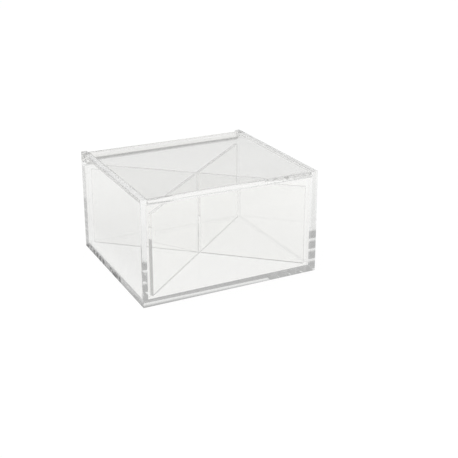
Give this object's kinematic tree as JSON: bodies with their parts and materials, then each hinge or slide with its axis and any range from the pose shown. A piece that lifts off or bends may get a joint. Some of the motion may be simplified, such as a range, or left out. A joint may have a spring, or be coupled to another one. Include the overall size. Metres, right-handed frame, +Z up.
{
  "type": "hinged acrylic box",
  "caption": "Clear acrylic keepsake box whose flush lid turns on a square bar between the side walls, with crossed diagonal dividers making triangular compartments.",
  "frame": {"origin": "centre of the underside of the base plate", "axes": "+Z up, +X to the right seen from the front, and the front faces -Y with the hinge at +Y"},
  "size_m": [0.1, 0.089, 0.057],
  "materials": {
    "clear_sheet": "clear cast acrylic sheet with flame-polished edges",
    "divider_sheet": "thin clear acrylic sheet with sawn and buffed edges",
    "lid_sheet": "clear cast acrylic sheet with polished edges and light handling marks",
    "hinge_bar": "clear square acrylic bar with a rounded upper rear edge, polished faces, sawn ends and turned axle stubs"
  },
  "bodies": {
    "case": {"base_plate": "clear_sheet", "left_wall": "clear_sheet", "right_wall": "clear_sheet", "front_wall": "clear_sheet", "back_wall": "clear_sheet", "divider_slotted_top": "divider_sheet", "divider_slotted_bottom": "divider_sheet"},
    "lid": {"lid_panel": "lid_sheet", "hinge_bar": "hinge_bar"}
  },
  "joints": [
    {"name": "lid_hinge", "type": "hinge", "parent": "case", "child": "lid", "pos_m": [0, 0.0415, 0.054], "axis": [-1, 0, 0], "range_deg": [0, 95]}
  ]
}
